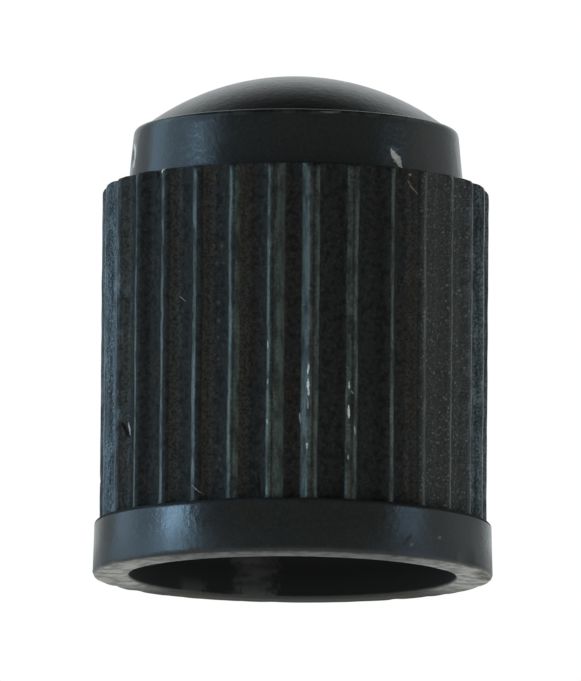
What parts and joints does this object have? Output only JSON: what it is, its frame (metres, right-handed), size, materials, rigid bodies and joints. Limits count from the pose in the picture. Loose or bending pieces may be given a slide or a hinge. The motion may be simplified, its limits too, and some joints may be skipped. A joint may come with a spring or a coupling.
{
  "type": "tyre valve cap",
  "caption": "Black moulded plastic dust cap for a car tyre valve, with a threaded socket, a ribbed grip, a base ring, a plain collar and a domed end.",
  "frame": {"origin": "centre of the mouth's rim, on the flat face that the cap stands on", "axes": "+Z along the cap's axis, from the mouth to the dome; a rib lies on +X"},
  "size_m": [0.01, 0.01, 0.0126],
  "materials": {
    "black_plastic": "satin black moulded plastic, rubbed smooth on the crests of the ribs and scuffed grey on the rim"
  },
  "bodies": {
    "root": {"valve_cap": "black_plastic"}
  },
  "joints": []
}
